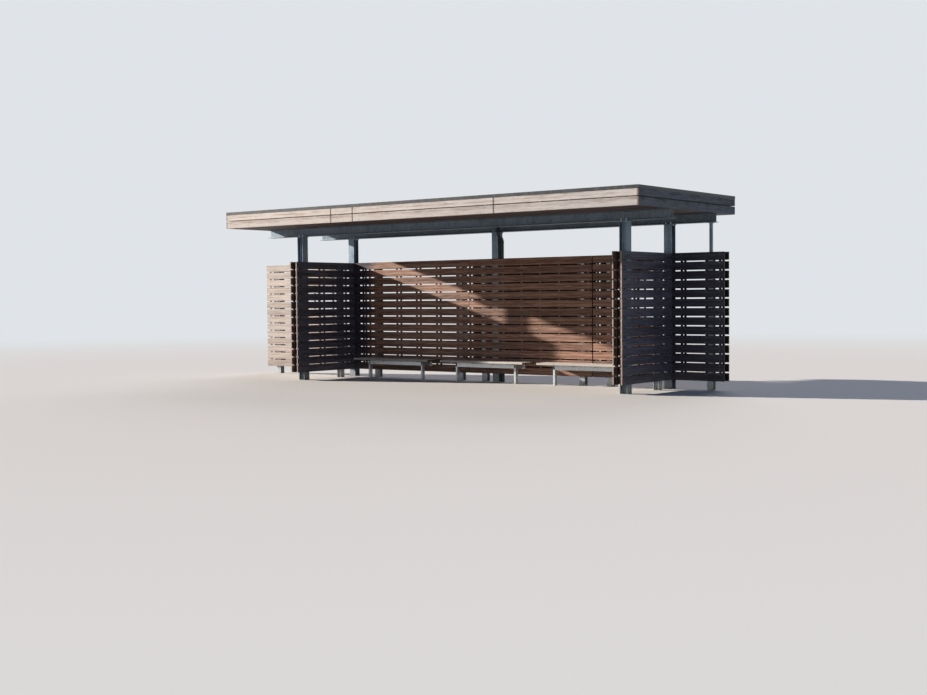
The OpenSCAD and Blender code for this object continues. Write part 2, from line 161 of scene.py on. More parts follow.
def block(low, high):
    # A box between two corners, to be worked on
    bpy.ops.mesh.primitive_cube_add(size=1, location=[(a + b) / 2 for a, b in zip(low, high)])
    box = bpy.context.object
    box.scale = [b - a for a, b in zip(low, high)]
    return settle(box)


def copyTo(piece, places, turn=(0, 0, 0)):
    # A copy with its own mesh at each place, all turned the same way and joined
    made = []
    for place in places:
        only(piece)
        bpy.ops.object.duplicate(linked=False)
        made.append(bpy.context.object)
        made[-1].location = place
        made[-1].rotation_euler = [math.radians(a) for a in turn]
    return settle(*made)


def modify(piece, kind, **settings):
    # One modifier, set and applied
    only(piece)
    bpy.ops.object.modifier_add(type=kind)
    modifier = piece.modifiers[-1]
    for name, value in settings.items():
        setattr(modifier, name, value)
    bpy.ops.object.modifier_apply(modifier=modifier.name)


def discard(piece):
    only(piece)
    bpy.ops.object.delete()


def finishPiece(piece, name, material, smooth=None):
    settle(piece)
    if smooth:
        bpy.ops.object.shade_smooth_by_angle(angle=math.radians(smooth))
    piece.name = piece.data.name = name
    piece.data.materials.clear()
    piece.data.materials.append(material)
    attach(piece, "root")


# ---- camera: 51 mm lens, standing 1.7 m above ground, right of the middle

camera = dict(
    place=(16.790, -20.595, 1.701),
    turn=37.965,      # degrees to the left of +Y
    tilt=-2.109,      # degrees, downwards
    roll=-0.465,
    lens=50.897,      # mm, as is the width of the sensor
    sensor=36,
    near=0.1,
    far=900,
)


def placeCamera(c):
    bpy.ops.object.camera_add(location=c["place"])
    shot = bpy.context.object
    shot.name = "photoCamera"
    shot.matrix_world = (
        Matrix.Translation(c["place"])
        @ Matrix.Rotation(math.radians(c["turn"]), 4, "Z")
        @ Matrix.Rotation(math.radians(90 + c["tilt"]), 4, "X")
        @ Matrix.Rotation(math.radians(c["roll"]), 4, "Z")
    )
    shot.data.sensor_width = c["sensor"]
    shot.data.lens = c["lens"]
    shot.data.clip_start = c["near"]
    shot.data.clip_end = c["far"]
    bpy.context.scene.camera = shot


placeCamera(camera)


# ---- studio: pale floor fading into a pale backdrop, a low key light, a soft light from behind

studio = dict(
    floorRadius=340,
    floorSides=128,
    floorDrop=-0.002,
    floorColour="#efedea",
    floorBounce="#8b867f",   # what the floor throws back onto the object
    backdrop="#e0e4e8",
    fadeStart=12.0,          # metres from the middle
    fadeEnd=42.0,
    skyLight=0.15,
    skyColour="#b8d1fb",
    lampDistance=20,
)
lamps = dict(
    # the key is low, from the left and a little in front; its shadows keep soft edges
    keyLight=dict(strength=6.4, colour="#fff5ea", source=(-0.909, -0.298, 0.291), spread=0.9),
    rearLight=dict(strength=1.2, colour="#f1f4ff", source=(-0.30, 0.85, 0.43), spread=40),
)


def seenDirectly(tree):
    # 1 where the camera, a mirror or glass looks, 0 for the light that bounces
    path = addNode(tree, "LightPath", {}, None).outputs
    seen = addNode(tree, "Math", (path["Is Camera Ray"], path["Is Glossy Ray"]), operation="ADD")
    return addNode(tree, "Math", (seen, path["Is Transmission Ray"]),
                   operation="ADD", use_clamp=True)


def buildWorld(s):
    scene = bpy.context.scene
    scene.view_settings.view_transform = "Standard"
    scene.world = bpy.data.worlds.new("studioWorld")
    scene.world.use_nodes = True
    tree = scene.world.node_tree
    tree.nodes.clear()
    fill = addNode(tree, "Background", {"Color": s["skyColour"], "Strength": s["skyLight"]})
    shown = addNode(tree, "Background", {"Color": s["backdrop"], "Strength": 1.0})
    mixed = addNode(tree, "MixShader", (seenDirectly(tree), fill, shown))
    addNode(tree, "OutputWorld", {"Surface": mixed}, None)


def addLamp(name, look):
    source = look["source"]
    bpy.ops.object.light_add(type="SUN", location=[studio["lampDistance"] * d for d in source])
    lamp = bpy.context.object
    lamp.name = name
    lamp.data.energy = look["strength"]
    lamp.data.angle = math.radians(look["spread"])
    lamp.data.color = linear(look["colour"])[:3]
    lamp.rotation_euler = Vector(source).to_track_quat("Z", "Y").to_euler()


def buildFloor(s):
    bpy.ops.mesh.primitive_circle_add(vertices=s["floorSides"], radius=s["floorRadius"],
                                      fill_type="NGON", location=(0, 0, s["floorDrop"]))
    floor = bpy.context.object
    floor.name = "studioFloor"
    # trowelled plaster: matt and even, darker to the light that bounces than to the camera
    material, tree, shader, place = newMaterial("matPalePlaster")
    seen = seenDirectly(tree)
    pale = addNode(tree, "Mix", {0: seen, 6: s["floorBounce"], 7: s["floorColour"]}, 2,
                   data_type="RGBA")
    feed(tree, shader, {"Base Color": pale, "Roughness": 1.0, "Specular IOR Level": 0.0})
    reach = addNode(tree, "VectorMath", (place,), "Value", operation="LENGTH")
    fade = addNode(tree, "MapRange", (reach, s["fadeStart"], s["fadeEnd"]),
                   interpolation_type="SMOOTHSTEP")
    share = addNode(tree, "Math", (fade, seen), operation="MULTIPLY")
    glow = addNode(tree, "Emission", {"Color": s["backdrop"], "Strength": 1.0})
    mixed = addNode(tree, "MixShader", (share, shader.outputs[0], glow))
    feed(tree, tree.nodes["Material Output"], {"Surface": mixed})
    floor.data.materials.append(material)


buildWorld(studio)
for lampName, lampLook in lamps.items():
    addLamp(lampName, lampLook)
buildFloor(studio)
print("camera and studio ready")


# ---- timber: planed tropical hardwood, grain along each board, every board different

# Boards repeat every pitch metres from start and are width wide; the colours run from the
# heart of the grain to its pale side, and silver is what it weathers to
wallTimber = dict(
    pitch=0.170, start=0.170, width=0.145, ring=0.011,
    heart="#5f4132", mid="#a87b65", pale="#d8ac91", silver="#948c89", silverAmount=0.18,
    tintRange=0.30, endGrain="#7a6357", batten="#40302b",
    roughness=0.56, sheen=0.42, checks=0.25, splash=0.60,
    # the bleached colours are sun-weathered; the dark blue-grey set after them is painted shade
    bleached=("#bba89b", "#e0d1c5", "#f4ebe3"), paintedShade=("#211d28", "#37323f", "#4f4956"),
)
# painted shade for panel 4 at the open end: darker blue-grey zone colours, dark board ends, and
# dark inner faces of the boards
shadedEndWallTimber = dict(
    wallTimber, paintedShade=("#25252f", "#40404e", "#5c5c6c"), endGrain="#3a3232", batten="#221c1c",
)
# painted shade: a dark blue-grey copy of the wall timber, for the wing skins that face away from
# the light
shadedWingTimber = dict(
    wallTimber, heart="#32313d", mid="#565669", pale="#79788b", silver="#7d8394",
    # the pale end grain is partly painted light: paler than the wall's ends of the same wood, for
    # the sunlit wing fronts
    silverAmount=0.34, endGrain="#d2b8a6",
)
sunnyWingTimber = dict(
    shadedWingTimber, heart="#4b3d35", mid="#77655a", pale="#9b897b", silver="#8f8983",
    # painted shade on the front faces of the uprights
    shadedUprights=True,
)
fasciaTimber = dict(
    pitch=0.159, start=3.230, width=0.145, ring=0.010,
    heart="#b1a49e", mid="#e0d8d4", pale="#f1ece9", silver="#cfcac6", silverAmount=0.42,
    tintRange=0.14, endGrain="#a48c7d", roughness=0.74, sheen=0.26, checks=0.55,
    stain="#5d5550", stainAmount=0.30, bleached=("#d0baac", "#f6e9df", "#fdf8f2"),
)
# painted shade: the left end is drawn darker than the front of the same timber, against the strong
# light from the left
endFasciaTimber = dict(
    fasciaTimber, heart="#7a6a60", mid="#9c8b80", pale="#b4a599", silver="#93908d",
    stainAmount=0.5,
)
# the back fascia: silvered and stained, and darker than the front as painted shade
shadedFasciaTimber = dict(
    fasciaTimber, heart="#625e5f", mid="#828084", pale="#a09d9e", silver="#8b8f96",
    silverAmount=0.60, stain="#3d433f", stainAmount=0.75,
)
# painted shade: the right end, turned from the light, in a blue-grey copy, with stains
rightFasciaTimber = dict(
    shadedFasciaTimber, heart="#5c616c", mid="#828895", pale="#a4a9b3", silver="#8e98aa",
)
soffitTimber = dict(
    pitch=0.120, width=0.117, ring=0.012,
    heart="#33282a", mid="#4f4141", pale="#6a5a59", silver="#7a716c", silverAmount=0.12,
    tintRange=0.35, endGrain="#5d4335", roughness=0.6, sheen=0.35, checks=0.1,
)
slatTimber = dict(
    pitch=0.082, width=0.070, ring=0.009,
    heart="#d2c6b9", mid="#f4ede4", pale="#fbf7f1", silver="#e6e2dc", silverAmount=0.5,
    tintRange=0.16, endGrain="#6d5a4b", roughness=0.7, sheen=0.3, checks=0.6,
)

# How the wood is drawn, in board space: x along the board, y and z across its section.
# A pattern has its stretch along those axes, and how fine and how rough its noise is
wood = dict(
    rowDraw=7.13, seedDraw=3.71,           # one random draw for each row and piece
    shifts=(53.0, 0.24, 0.30),             # how far the draw moves a board through the wood
    ringStretch=(0.09, 1, 1), ringScale=0.314, ringShare=0.20,
    ringForm={"Distortion": 3.2, "Detail": 2.0, "Detail Scale": 1.3, "Detail Roughness": 0.55},
    streaks=((2.1, 40, 40), 5.0, 0.62),    # about 25 mm by half a metre
    fibres=((11, 330, 330), 3.0, 0.6),     # drawn at 3 mm so that they show
    fibreShare=0.30,
    patches=((1.3, 4.5, 4.5), 4.0, 0.6),
    splits=((4.5, 190, 190), 1.5, 0.5),    # drying checks a hand long, drawn 2 mm wide
    split=(0.665, 0.72), splitColour="#2a1f1a",
    tones=(0.48, 0.72, 0.98),              # where heart, mid and pale lie in the grain
    tintUp=0.55,
    edgeWear=0.016, edgeShare=0.35, wornPatches=(0.42, 0.66),
    zoneWobble=0.9, zoneTints=(0.86, 1.08),
    stains=((2.6, 2.6, 9.0), 6.0, 0.7), stainRise=0.10, stained=(0.50, 0.72),
    jointDirt="#3b302b", jointReach=(0.020, 0.010), jointShare=0.8,
    dust="#7d756b", dustHeight=(0.62, 0.12),
    battenEdge=0.0005, endFacing=0.9, endPores=240.0, endRange=(0.3, 0.7), endTints=(0.78, 1.12),
    polish=(0.45, 1.0), duller=0.1, shinier=-0.08,
    fibreRelief=0.7, splitRelief=-1.6, reliefStrength=0.55, reliefDepth=0.0012,
)


def boardSpace(tree, place, look, along, stack, seed):
    # A point's place on its own board, and the random draw of that board
    axes = addNode(tree, "SeparateXYZ", (place,), None).outputs
    row = addNode(tree, "Math", (axes[stack], look["start"]), operation="SUBTRACT")
    row = addNode(tree, "Math", (row, look["pitch"]), operation="DIVIDE")
    index = addNode(tree, "Math", (row,), operation="FLOOR")
    key = addNode(tree, "Math", (index, wood["rowDraw"], seed * wood["seedDraw"]),
                  operation="MULTIPLY_ADD")
    draw = addNode(tree, "TexWhiteNoise", {"W": key}, None, noise_dimensions="1D").outputs
    parts = addNode(tree, "SeparateColor", (draw["Color"],), None).outputs
    across = addNode(tree, "Math", (row, index), operation="SUBTRACT")
    across = addNode(tree, "Math", (across, look["pitch"], -look["width"] / 2),
                     operation="MULTIPLY_ADD")
    depth = axes[3 - along - stack]
    draws = (draw["Value"], parts[0], parts[1])
    moved = [addNode(tree, "Math", values, operation="MULTIPLY_ADD")
             for values in zip(draws, wood["shifts"], (axes[along], across, depth))]
    return dict(length=axes[along], across=across, depth=depth, height=axes[2],
                draw=draw["Value"], point=addNode(tree, "CombineXYZ", moved))


def woodFigure(tree, point, look):
    # Growth rings: long arches where the section cuts them flat, straight lines elsewhere
    rings = addNode(tree, "VectorMath", (point, wood["ringStretch"]), operation="MULTIPLY")
    rings = addNode(tree, "TexWave", {"Vector": rings, "Scale": wood["ringScale"] / look["ring"],
                                      **wood["ringForm"]},
                    "Fac", wave_type="RINGS", rings_direction="X", wave_profile="SIN")
    patterns = []
    for stretch, detail, rough in (wood[n] for n in ("streaks", "fibres", "patches", "splits")):
        pattern = addNode(tree, "VectorMath", (point, stretch), operation="MULTIPLY")
        patterns.append(addNode(tree, "TexNoise", {"Vector": pattern, "Scale": 1.0,
                                                   "Detail": detail, "Roughness": rough}))
    streak, fibre, patch, check = patterns
    grain = addNode(tree, "Math", (rings, wood["ringShare"], streak), operation="MULTIPLY_ADD")
    grain = addNode(tree, "Math", (fibre, wood["fibreShare"], grain), operation="MULTIPLY_ADD")
    return grain, fibre, patch, check


def weatherAndShadeBoards(tree, colour, board, look, grain, patch, zones):
    # silver grey in patches and along both edges of a board
    half = look["width"] / 2
    edge = addNode(tree, "Math", (board["across"],), operation="ABSOLUTE")
    edge = addNode(tree, "MapRange", (edge, half - wood["edgeWear"], half))
    worn = addNode(tree, "MapRange", (patch, *wood["wornPatches"]))
    worn = addNode(tree, "Math", (edge, wood["edgeShare"], worn), operation="MULTIPLY_ADD",
                   use_clamp=True)
    worn = addNode(tree, "Math", (worn, look["silverAmount"]), operation="MULTIPLY")
    colour = addNode(tree, "Mix", {0: worn, 6: colour, 7: look["silver"]}, 2, data_type="RGBA")
    for codes, full, none in zones:
        # beyond the roof, sun and rain took the colour out; painted shade darkens the wall by the
        # left wing and beyond the right wing
        middle = wood["zoneWobble"] / 2
        reach = addNode(tree, "Math", (patch, wood["zoneWobble"], board["length"]),
                        operation="MULTIPLY_ADD")
        reach = addNode(tree, "MapRange", (reach, gridX + none + middle, gridX + full + middle),
                        interpolation_type="SMOOTHSTEP")
        tone = addNode(tree, "ValToRGB", (grain,), stops=list(zip(wood["tones"], look[codes])))
        shade = addNode(tree, "MapRange", (board["draw"], 0.0, 1.0, *wood["zoneTints"]))
        tone = addNode(tree, "HueSaturation", {"Color": tone, "Value": shade})
        colour = addNode(tree, "Mix", {0: reach, 6: colour, 7: tone}, 2, data_type="RGBA")
    return colour


def dirtyBoards(tree, colour, place, board, look, patch, joints):
    if "stain" in look:
        # water marks and algae, mostly under the metal trim and in the open joint
        half, lift = look["width"] / 2, wood["stainRise"]
        stretch, detail, rough = wood["stains"]
        run = addNode(tree, "VectorMath", (place, stretch), operation="MULTIPLY")
        run = addNode(tree, "TexNoise", {"Vector": run, "Scale": 1.0, "Detail": detail,
                                         "Roughness": rough})
        rise = addNode(tree, "MapRange", (board["across"], -half, half, -lift, lift))
        run = addNode(tree, "Math", (run, rise), operation="ADD")
        run = addNode(tree, "MapRange", (run, *wood["stained"], 0.0, look["stainAmount"]))
        colour = addNode(tree, "Mix", {0: run, 6: colour, 7: look["stain"]}, 2, data_type="RGBA")
    for middle in joints:
        # dirt drawn into the end grain, a finger wide on both sides of a butt joint
        near = addNode(tree, "Math", (board["length"], gridX + middle), operation="SUBTRACT")
        near = addNode(tree, "Math", (near,), operation="ABSOLUTE")
        near = addNode(tree, "MapRange", (near, *wood["jointReach"], 0.0, wood["jointShare"]))
        colour = addNode(tree, "Mix", {0: near, 6: colour, 7: wood["jointDirt"]}, 2,
                         data_type="RGBA")
    if "splash" in look:
        # rain splashes dust onto the lowest boards
        low = addNode(tree, "MapRange", (board["height"], *wood["dustHeight"]))
        low = addNode(tree, "Math", (low, patch), operation="MULTIPLY")
        low = addNode(tree, "Math", (low, look["splash"]), operation="MULTIPLY")
        colour = addNode(tree, "Mix", {0: low, 6: colour, 7: wood["dust"]}, 2, data_type="RGBA")
    return colour


def timber(name, look, along, stack, seed, backing=None, zones=(), joints=()):
    # along, stack: axis numbers of the board length and of the way in which boards repeat
    # backing: (middle, half depth) on the third axis, inside which lie the battens
    # zones: (colours, where they are full, where they end), along the boards from the grid point
    # joints: places of the butt joints, along the boards from the grid point
    material, tree, shader, place = newMaterial(name)
    board = boardSpace(tree, place, look, along, stack, seed)
    grain, fibre, patch, check = woodFigure(tree, board["point"], look)
    colour = addNode(tree, "ValToRGB", (grain,), stops=list(zip(
        wood["tones"], (look["heart"], look["mid"], look["pale"]))))
    # every board has its own depth of colour
    tint = addNode(tree, "MapRange", (board["draw"], 0.0, 1.0, 1 - look["tintRange"],
                                      1 + look["tintRange"] * wood["tintUp"]))
    colour = addNode(tree, "HueSaturation", {"Color": colour, "Value": tint})
    colour = weatherAndShadeBoards(tree, colour, board, look, grain, patch, zones)
    colour = dirtyBoards(tree, colour, place, board, look, patch, joints)
    check = addNode(tree, "MapRange", (check, *wood["split"], 0.0, look["checks"]))
    colour = addNode(tree, "Mix", {0: check, 6: colour, 7: wood["splitColour"]}, 2,
                     data_type="RGBA")

    # sawn ends: open end grain; the pale wing ends are partly painted light, the dark ends of
    # panel 4 painted shade
    facing = addNode(tree, "NewGeometry", {}, "True Normal")
    facing = addNode(tree, "SeparateXYZ", (facing,), along)
    facing = addNode(tree, "Math", (facing,), operation="ABSOLUTE")
    facing = addNode(tree, "Math", (facing, wood["endFacing"]), operation="GREATER_THAN")
    if backing:
        middle, half = backing
        inner = addNode(tree, "Math", (board["depth"], middle), operation="SUBTRACT")
        inner = addNode(tree, "Math", (inner,), operation="ABSOLUTE")
        inner = addNode(tree, "Math", (inner, half - wood["battenEdge"]), operation="LESS_THAN")
        colour = addNode(tree, "Mix", {0: inner, 6: colour, 7: look["batten"]}, 2,
                         data_type="RGBA")
        # painted shade: with this key the front faces of the uprights keep the dark batten colour,
        # not the pale end grain
        if "shadedUprights" in look:
            facing = addNode(tree, "Math", (facing, inner), operation="SUBTRACT", use_clamp=True)
    cut = addNode(tree, "TexNoise", {"Vector": place, "Scale": wood["endPores"]})
    cut = addNode(tree, "MapRange", (cut, *wood["endRange"], *wood["endTints"]))
    cut = addNode(tree, "HueSaturation", {"Color": look["endGrain"], "Value": cut})
    colour = addNode(tree, "Mix", {0: facing, 6: colour, 7: cut}, 2, data_type="RGBA")

    rough = addNode(tree, "MapRange", (grain, *wood["polish"], look["roughness"] + wood["duller"],
                                       look["roughness"] + wood["shinier"]))
    relief = addNode(tree, "Math", (fibre, wood["fibreRelief"], grain), operation="MULTIPLY_ADD")
    relief = addNode(tree, "Math", (check, wood["splitRelief"], relief),
                     operation="MULTIPLY_ADD")
    bump = addNode(tree, "Bump", {"Strength": wood["reliefStrength"],
                                  "Distance": wood["reliefDepth"], "Height": relief})
    feed(tree, shader, {"Base Color": colour, "Roughness": rough, "Normal": bump,
                        "Specular IOR Level": look["sheen"]})
    return material


# Colours, where they are full and where they end, from the grid point
# The dark zones are painted shade: a cast shadow beside the left wing, and the shade of the right
# wing on the wall beyond it
wallZones = {
    "back_wall_front_1": [("paintedShade", -3.62, -3.26), ("bleached", -5.0, -4.35)],
    "back_wall_rear_1": [("bleached", -5.0, -4.35)],
    "back_wall_front_2": [("paintedShade", -3.62, -3.26)],
    "back_wall_front_4": [("paintedShade", 3.95, 3.75)],
}
# wide enough to take in the inner faces of the boards, which get dark painted shade at the open
# end
shadedBoardBack = 0.0775   # takes in the inner faces of the boards, dark at the open end


def dressWalls():
    for i in (1, 2, 3, 4):
        # panel 4 takes the copy with painted shade
        look = shadedEndWallTimber if i == 4 else wallTimber
        backing = (gridY, shadedBoardBack if i == 4 else plan["boardBack"])
        for side, sideSeed in (("front", 0), ("rear", 31)):
            name = f"back_wall_{side}_{i}"
            dress([name], timber("matHardwood_" + name, look, 0, 2, i * 2 + sideSeed,
                                 backing, wallZones.get(name, ())))
    for k, side in enumerate(("left", "right")):
        backing = (gridX + plan["wings"][k], plan["boardBack"])
        for j, skin in enumerate(("outer", "inner")):
            # painted shade: the skins that face right get the dark blue-grey copy of the timber;
            # the skins that face left, in the sun, a warmer copy
            name = f"{side}_wing_{skin}"
            look = sunnyWingTimber if k == j else shadedWingTimber
            dress([name], timber("matHardwood_" + name, look, 1, 2, 60 + k * 9 + j * 4, backing))


def dressRoofTimber():
    for side, label, look, along, seed, zones, joints in (
        ("front", "matSunBleachedHardwood", fasciaTimber, 0, 80,
         [("bleached", -4.0, 4.5)], plan["frontJoints"]),
        ("left", "matShadedHardwood_end", endFasciaTimber, 1, 90, (), ()),
        ("back", "matSilveredHardwoodInShade", shadedFasciaTimber, 0, 85, (), plan["backJoints"]),
        ("right", "matBlueGreyShadedHardwood_end", rightFasciaTimber, 1, 95, (), ()),
    ):
        dress(["fascia_" + side], timber(label, look, along, 2, seed,
                                         zones=zones, joints=joints))


def dressLevelBoards():
    low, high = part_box("soffit")
    look = dict(soffitTimber, start=low.y)
    dress(["soffit"], timber("matOiledBoarding", look, 0, 1, 110))
    for k, side in enumerate(("left", "middle", "right")):
        low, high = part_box(f"bench_seat_{side}")
        look = dict(slatTimber, start=low.y)
        dress([f"bench_seat_{side}"], timber("matWeatheredSlats_" + side, look, 0, 1, 130 + k * 7))


dressWalls()
dressRoofTimber()
dressLevelBoards()
print("timber ready")


# ---- metals

zincFinish = dict(
    light="#dce1e4", dark="#b9c1c6", oxide="#e4e8e8", dirt="#b0a99c", rust="#8a5a36",
    spangle=0.016, roughness=0.44, dirtTop=0.16, rustAmount=0.28,
)
postFinish = dict(zincFinish, light="#bac2c6", dark="#929da3", oxide="#c5cbcc")
# bolts: new zinc, brighter than the rest; the brighter colour is partly a painted highlight
boltFinish = dict(zincFinish, light="#f2f4f4", dark="#dfe4e6", oxide="#f0f1ef", roughness=0.30)
# weathered zinc; its dark blue-grey is partly painted shade
frameFinish = dict(
    light="#8495a3", dark="#5c6d7c", oxide="#a3aeb7", dirt="#a7a196", rust="#7a5236",
    spangle=0.022, roughness=0.50, dirtTop=0.25, rustAmount=0.20,
)
# painted shade: the beams are drawn darker than the posts of the same zinc, as they lie in shade
# under the roof
beamFinish = dict(frameFinish, light="#7d8a94", dark="#57636c", oxide="#949ea5")
zinc = dict(
    clouds={"Scale": 3.2, "Detail": 6.0, "Roughness": 0.65}, crystalShare=0.32,
    tones=(0.40, 0.85), runStretch=(46, 46, 1.6), runDetail=3.0, runny=(0.52, 0.75),
    runShare=0.55, spots={"Scale": 34.0, "Detail": 4.0, "Roughness": 0.7},
    wet=(0.20, 0.0, 0.0, 0.14),    # height where it starts, ground, and what it adds at both
    rusty=(0.66, 0.74), polish=(0.4, 0.9), shinier=-0.08, duller=0.12, splashDuller=0.4,
    relief={"Strength": 0.25, "Distance": 0.0006}, metallic=0.75,
)


def zincCoat(name, look):
    # hot-dip galvanised steel: large dull crystals, white oxide in runs, splashed feet
    material, tree, shader, place = newMaterial(name)
    crystal = addNode(tree, "TexVoronoi", {"Vector": place, "Scale": 1 / look["spangle"]}, "Color")
    crystal = addNode(tree, "SeparateColor", (crystal,))
    cloud = addNode(tree, "TexNoise", {"Vector": place, **zinc["clouds"]})
    mixed = addNode(tree, "Math", (crystal, zinc["crystalShare"], cloud), operation="MULTIPLY_ADD")
    colour = addNode(tree, "ValToRGB", (mixed,), stops=list(zip(
        zinc["tones"], (look["dark"], look["light"]))))
    run = addNode(tree, "VectorMath", (place, zinc["runStretch"]), operation="MULTIPLY")
    run = addNode(tree, "TexNoise", {"Vector": run, "Scale": 1.0, "Detail": zinc["runDetail"]})
    run = addNode(tree, "MapRange", (run, *zinc["runny"], 0.0, zinc["runShare"]))
    colour = addNode(tree, "Mix", {0: run, 6: colour, 7: look["oxide"]}, 2, data_type="RGBA")

    # small rust spots, more of them where the feet stay wet
    height = addNode(tree, "SeparateXYZ", (place,), 2)
    wet = addNode(tree, "MapRange", (height, *zinc["wet"]))
    spot = addNode(tree, "TexNoise", {"Vector": place, **zinc["spots"]})
    spot = addNode(tree, "Math", (spot, wet), operation="ADD")
    spot = addNode(tree, "MapRange", (spot, *zinc["rusty"], 0.0, look["rustAmount"]))
    colour = addNode(tree, "Mix", {0: spot, 6: colour, 7: look["rust"]}, 2, data_type="RGBA")

    splash = addNode(tree, "MapRange", (height, look["dirtTop"], 0.0))
    splash = addNode(tree, "Math", (splash, cloud), operation="MULTIPLY")
    colour = addNode(tree, "Mix", {0: splash, 6: colour, 7: look["dirt"]}, 2, data_type="RGBA")
    rough = addNode(tree, "MapRange", (mixed, *zinc["polish"], look["roughness"] + zinc["shinier"],
                                       look["roughness"] + zinc["duller"]))
    rough = addNode(tree, "Math", (splash, zinc["splashDuller"], rough), operation="MULTIPLY_ADD")
    bump = addNode(tree, "Bump", {"Height": mixed, **zinc["relief"]})
    feed(tree, shader, {"Base Color": colour, "Roughness": rough, "Normal": bump,
                        "Metallic": zinc["metallic"]})
    return material


trimFinish = dict(base="#262b31", dust="#565b60", roughness=0.42)
pipeFinish = dict(base="#1c252b", dust="#47525a", roughness=0.38)
coat = dict(
    runStretch=(14, 14, 3), runs={"Scale": 1.0, "Detail": 5.0, "Roughness": 0.6},
    upward=(0.5, 1.0), upShare=0.16, dusty=(0.45, 0.8), dustShare=0.6, dullAt=0.5, duller=0.2,
    peel={"Scale": 420.0, "Detail": 1.0}, relief={"Strength": 0.12, "Distance": 0.0003},
)


def paintCoat(name, look):
    # powder coated sheet: fine orange peel, chalked where water dries, dust on what faces up
    material, tree, shader, place = newMaterial(name)
    run = addNode(tree, "VectorMath", (place, coat["runStretch"]), operation="MULTIPLY")
    run = addNode(tree, "TexNoise", {"Vector": run, **coat["runs"]})
    up = addNode(tree, "NewGeometry", {}, "True Normal")
    up = addNode(tree, "SeparateXYZ", (up,), 2)
    up = addNode(tree, "MapRange", (up, *coat["upward"], 0.0, coat["upShare"]))
    run = addNode(tree, "Math", (run, up), operation="ADD")
    run = addNode(tree, "MapRange", (run, *coat["dusty"], 0.0, coat["dustShare"]))
    colour = addNode(tree, "Mix", {0: run, 6: look["base"], 7: look["dust"]}, 2, data_type="RGBA")
    rough = addNode(tree, "MapRange", (run, 0.0, coat["dullAt"], look["roughness"],
                                       look["roughness"] + coat["duller"]))
    peel = addNode(tree, "TexNoise", {"Vector": place, **coat["peel"]})
    bump = addNode(tree, "Bump", {"Height": peel, **coat["relief"]})
    feed(tree, shader, {"Base Color": colour, "Roughness": rough, "Normal": bump})
    return material


screwFinish = dict(bright="#b4b3ae", tea="#6d5340", stains={"Scale": 90.0, "Detail": 4.0},
                   stained=(0.45, 0.75), share=0.7, roughness=(0.34, 0.7), metallic=1.0)


def stainless(name, look):
    # turned stainless fixings: bright, with brown tea stains in the drive recess and on the rim
    material, tree, shader, place = newMaterial(name)
    tea = addNode(tree, "TexNoise", {"Vector": place, **look["stains"]})
    tea = addNode(tree, "MapRange", (tea, *look["stained"], 0.0, look["share"]))
    colour = addNode(tree, "Mix", {0: tea, 6: look["bright"], 7: look["tea"]}, 2, data_type="RGBA")
    rough = addNode(tree, "MapRange", (tea, 0.0, 1.0, *look["roughness"]))
    feed(tree, shader, {"Base Color": colour, "Roughness": rough, "Metallic": look["metallic"]})
    return material


brightSteel = zincCoat("matHotDipZincSteel", zincFinish)
boltSteel = zincCoat("matBrightZincBolts", boltFinish)
screwSteel = stainless("matStainlessFixings", screwFinish)
for nodeStarts, metal in (
    (("front_post", "rear_post", "side_tube"), zincCoat("matWeatheredShadedZincSteel", frameFinish)),
    (("front_beam", "rear_beam"), zincCoat("matShadedBeamZincSteel", beamFinish)),
    (("bench_frame",), brightSteel),
    (("wall_post", "wing_post"), zincCoat("matZincPosts", postFinish)),
    (("trim_",), paintCoat("matPowderCoatedAluminium", trimFinish)),
    (("downpipe",), paintCoat("matCoatedSteelPipe", pipeFinish)),
):
    dress(named(*nodeStarts), metal)
print("metals ready")


# ---- screws: pan heads, two in each board at every batten

screw = dict(sides=8, radius=0.0050, rim=0.0009, height=0.0023, shoulder=0.68, socket=0.30,
             recess=0.0009, inset=0.03, pair=0.085, smooth=40)
wallBattens = [
    -6.600, -6.310, -5.7325, -5.155, -4.5775, -3.774,
    -3.576, -3.220, -2.665, -2.110, -1.555, -1.000, -0.759,
    -0.561, -0.250, 0.205, 0.660, 1.115, 1.570, 2.025, 2.253,
    2.467, 2.775, 3.280, 3.785, 4.290, 4.795, 5.070,
]
wingBattens = [-1.8215, -1.030, -0.460, -0.195]
fasciaScrews = dict(heights=(3.260, 3.330, 3.419, 3.489), length=9.779, bays=16,
                    depth=3.110, endBays=6, middle=-1.0925, beside=0.013)
soffitScrews = dict(firstBoard=-2.762, boards=29, pitch=0.12, beamClear=0.11,
                    joistPitch=0.614, joists=7, endJoist=4.8895)
toFront, toBack, toLeft, toRight, toGround = (
    (90, 0, 0), (-90, 0, 0), (0, -90, 0), (0, 90, 0), (180, 0, 0))


def panHead(s):
    bpy.ops.mesh.primitive_circle_add(vertices=s["sides"], radius=s["radius"],
                                      fill_type="NGON", location=(0, 0, 0))
    head = bpy.context.object
    bpy.ops.object.mode_set(mode="EDIT")
    bpy.ops.mesh.select_all(action="SELECT")
    extrude(0, 0, s["rim"])
    extrude(0, 0, s["height"] - s["rim"])
    bpy.ops.transform.resize(value=(s["shoulder"], s["shoulder"], 1))
    bpy.ops.mesh.inset(thickness=s["radius"] * s["socket"], depth=0)
    extrude(0, 0, -s["recess"])
    closeShape()
    return head


def setScrews(name, group, places):
    # a column or line of screws, repeated at the places
    finishPiece(copyTo(group, places), "screws" + name, screwSteel,
                screw["smooth"])
    discard(group)


